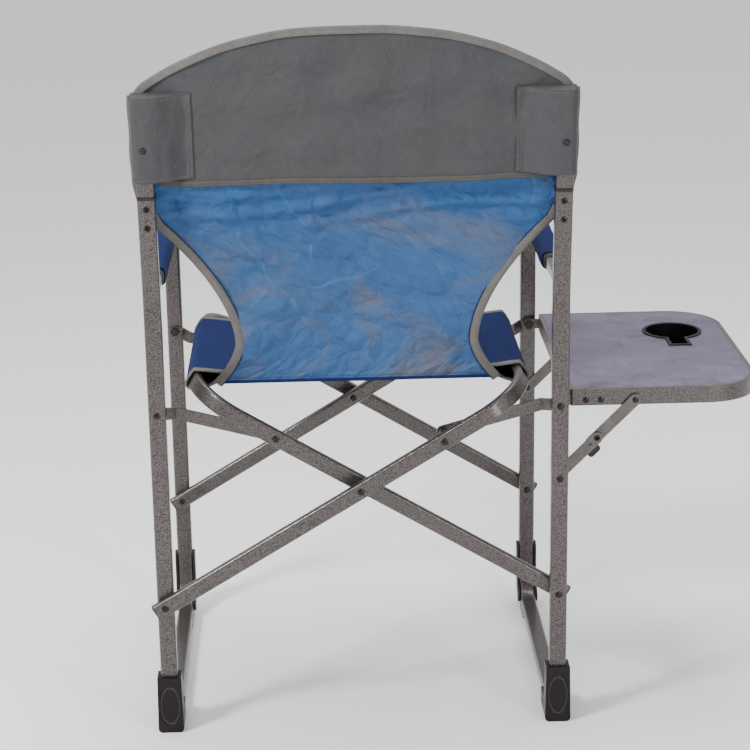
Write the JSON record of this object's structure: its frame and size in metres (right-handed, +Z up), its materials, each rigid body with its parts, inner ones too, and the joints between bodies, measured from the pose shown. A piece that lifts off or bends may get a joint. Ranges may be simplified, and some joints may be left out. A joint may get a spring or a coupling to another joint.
{
  "type": "folding director chair",
  "caption": "Folding director chair: steel side frames, crossed seat arms, fabric seat and back, fold-down side table with a cup holder.",
  "frame": {"origin": "on the floor under the middle of the whole chair's box, table included", "axes": "+Z up, the sitter faces -Y, the table is on the sitter's right at -X"},
  "size_m": [0.7918, 0.466, 0.9239],
  "materials": {
    "frame_paint": "brown-grey hammertone",
    "rivet_steel": "darkened steel",
    "brace_steel": "dull zinc",
    "black_plastic": "moulded",
    "cup_plastic": "semi-gloss",
    "arm_foam": "closed-cell foam",
    "grey_canvas": "woven polyester",
    "blue_lining": "coated back, creased",
    "navy_fabric": "woven polyester",
    "table_board": "satin laminate"
  },
  "bodies": {
    "right_side": {"front_tube_right": "frame_paint", "rear_leg_right": "frame_paint", "back_post_right": "frame_paint", "post_collar_right": "black_plastic", "post_cap_right": "black_plastic", "front_shoe_right": "black_plastic", "rear_boot_right": "black_plastic", "arm_foam_right": "arm_foam", "arm_sleeve_right": "navy_fabric", "side_rivets_right": "rivet_steel", "stay_bolts_right": "rivet_steel", "stay_nuts_right": "rivet_steel", "post_sleeve_right": "grey_canvas", "sleeve_screws_right": "black_plastic", "back_panel": "blue_lining", "back_top": "grey_canvas"},
    "left_side": {"front_tube_left": "frame_paint", "rear_leg_left": "frame_paint", "back_post_left": "frame_paint", "post_collar_left": "black_plastic", "post_cap_left": "black_plastic", "front_shoe_left": "black_plastic", "rear_boot_left": "black_plastic", "arm_foam_left": "arm_foam", "arm_sleeve_left": "navy_fabric", "side_rivets_left": "rivet_steel", "stay_bolts_left": "rivet_steel", "stay_nuts_left": "rivet_steel", "post_sleeve_left": "grey_canvas", "sleeve_screws_left": "black_plastic"},
    "cross_p": {"cross_frame_p": "frame_paint", "cross_plugs_p": "black_plastic", "cross_rivets_p": "rivet_steel", "cross_spacers_p": "frame_paint", "seat_sleeve_left": "navy_fabric", "seat_sling": "navy_fabric"},
    "cross_q": {"cross_frame_q": "frame_paint", "cross_plugs_q": "black_plastic", "cross_rivets_q": "rivet_steel", "cross_spacers_q": "frame_paint", "seat_sleeve_right": "navy_fabric"},
    "table": {"table_rim": "black_plastic", "table_panel": "black_plastic", "table_hinge_straps": "black_plastic", "table_rivets": "rivet_steel", "cup_holder": "cup_plastic"},
    "stay_rear_right": {"stay_link_rear_right": "frame_paint"},
    "stay_front_right": {"stay_link_front_right": "frame_paint"},
    "stay_rear_left": {"stay_link_rear_left": "frame_paint"},
    "stay_front_left": {"stay_link_front_left": "frame_paint"},
    "brace_lower_rear": {"brace_lower_rear": "brace_steel", "brace_tab_rear": "black_plastic"},
    "brace_upper_rear": {"brace_upper_rear": "brace_steel"},
    "brace_lower_front": {"brace_lower_front": "brace_steel", "brace_tab_front": "black_plastic"},
    "brace_upper_front": {"brace_upper_front": "brace_steel"}
  },
  "joints": [
    {"name": "fold", "type": "hinge", "parent": "right_side", "child": "cross_p", "pos_m": [-0.13192, -0.01077, 0.179], "axis": [0, -1, 0], "range_deg": [0, 40], "deforming": ["seat_sling", "back_panel", "back_top"]},
    {"name": "centre_pivot", "type": "hinge", "parent": "cross_p", "child": "cross_q", "pos_m": [0.12308, -0.01077, 0.33222], "axis": [0, -1, 0], "range_deg": [-80, 0]},
    {"name": "left_low_pivot", "type": "hinge", "parent": "cross_q", "child": "left_side", "pos_m": [0.37808, -0.01077, 0.179], "axis": [0, -1, 0], "range_deg": [0, 40]},
    {"name": "stay_rear_right", "type": "hinge", "parent": "right_side", "child": "stay_rear_right", "pos_m": [-0.13192, -0.01077, 0.43611], "axis": [0, -1, 0], "range_deg": [0, 83.43]},
    {"name": "stay_rear_left", "type": "hinge", "parent": "left_side", "child": "stay_rear_left", "pos_m": [0.37808, -0.01077, 0.43611], "axis": [0, -1, 0], "range_deg": [-83.43, 0]},
    {"name": "stay_front_right", "type": "hinge", "parent": "right_side", "child": "stay_front_right", "pos_m": [-0.13192, -0.01077, 0.43611], "axis": [0, -1, 0], "range_deg": [0, 83.43]},
    {"name": "stay_front_left", "type": "hinge", "parent": "left_side", "child": "stay_front_left", "pos_m": [0.37808, -0.01077, 0.43611], "axis": [0, -1, 0], "range_deg": [-83.43, 0]},
    {"name": "table", "type": "hinge", "parent": "right_side", "child": "table", "pos_m": [-0.13192, -0.01077, 0.43611], "axis": [0, -1, 0], "range_deg": [0, 85]},
    {"name": "brace_lower_rear", "type": "hinge", "parent": "right_side", "child": "brace_lower_rear", "pos_m": [-0.13192, -0.01077, 0.33811], "axis": [0, -1, 0], "range_deg": [-43.96, 0]},
    {"name": "brace_upper_rear", "type": "hinge", "parent": "table", "child": "brace_upper_rear", "pos_m": [-0.22992, -0.01077, 0.43611], "axis": [0, -1, 0], "range_deg": [0, 43.96]},
    {"name": "brace_lower_front", "type": "hinge", "parent": "right_side", "child": "brace_lower_front", "pos_m": [-0.13192, -0.01077, 0.33811], "axis": [0, -1, 0], "range_deg": [-43.96, 0]},
    {"name": "brace_upper_front", "type": "hinge", "parent": "table", "child": "brace_upper_front", "pos_m": [-0.22992, -0.01077, 0.43611], "axis": [0, -1, 0], "range_deg": [0, 43.96]}
  ],
  "couplings": [
    {"joint": "centre_pivot", "follows": "fold", "ratio": -2},
    {"joint": "left_low_pivot", "follows": "fold", "ratio": 1},
    {"joint": "stay_rear_right", "follows": "fold", "ratio": 2.0858},
    {"joint": "stay_rear_left", "follows": "fold", "ratio": -2.0858},
    {"joint": "stay_front_right", "follows": "fold", "ratio": 2.0858},
    {"joint": "stay_front_left", "follows": "fold", "ratio": -2.0858},
    {"joint": "brace_lower_rear", "follows": "table", "ratio": -0.51722},
    {"joint": "brace_upper_rear", "follows": "table", "ratio": 0.51722},
    {"joint": "brace_lower_front", "follows": "table", "ratio": -0.51722},
    {"joint": "brace_upper_front", "follows": "table", "ratio": 0.51722}
  ]
}
